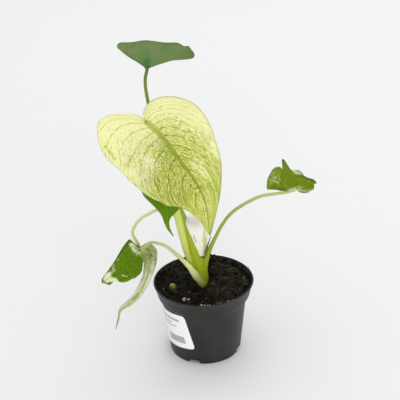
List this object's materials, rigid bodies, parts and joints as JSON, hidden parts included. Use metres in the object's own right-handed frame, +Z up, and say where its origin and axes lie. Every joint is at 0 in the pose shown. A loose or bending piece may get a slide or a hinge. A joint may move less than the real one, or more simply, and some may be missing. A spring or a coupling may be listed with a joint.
{
  "type": "potted monstera",
  "caption": "Young variegated monstera with heart-shaped leaves on long petioles, in a small round dark nursery pot with a side label.",
  "frame": {"origin": "middle of the pot's flat foot, on the surface it stands on", "axes": "+Z up along the pot's axis; the big variegated leaf faces -Y and the outstretched small leaf is towards +X"},
  "size_m": [0.1698, 0.088, 0.2593],
  "materials": {
    "black_plastic": "dark grey thermoformed plastic, dull on the wall and a little glossier on the collar and lip",
    "potting_soil": "moist peat and bark with pale perlite grains",
    "label_paper": "white paper label, matt, with plain grey bars",
    "stem_green": "smooth waxy green stem, paler and yellower low down",
    "stub_green": "yellow-green cut stem end",
    "dry_sheath": "papery dry sheath",
    "leaf_main": "cream and yellow blade with green veins and speckles, satin",
    "leaf_behind": "plain bright green blade, satin",
    "leaf_top": "dull grey-green underside, darker towards the petiole",
    "leaf_right": "yellow-green blade with cream mottles and dried scraps",
    "leaf_left_green": "deep green blade with cream patches and a dark dry margin",
    "leaf_left_pale": "pale grey-green marbled blade, rolled lengthwise, olive towards its tip",
    "petiole_green": "smooth waxy petiole, pale yellow-green to olive"
  },
  "bodies": {
    "root": {"nursery_pot": "black_plastic", "potting_soil": "potting_soil", "pot_label": "label_paper", "stem_base": "stem_green", "stem_stub": "stub_green", "dry_sheath": "dry_sheath", "leaf_main": "leaf_main", "leaf_behind": "leaf_behind", "leaf_top": "leaf_top", "leaf_right": "leaf_right", "leaf_left_green": "leaf_left_green", "leaf_left_pale": "leaf_left_pale", "petiole_main": "petiole_green", "petiole_top": "petiole_green", "petiole_behind": "petiole_green", "petiole_arched": "petiole_green", "petiole_low_left": "petiole_green", "petiole_right": "petiole_green"}
  },
  "joints": []
}
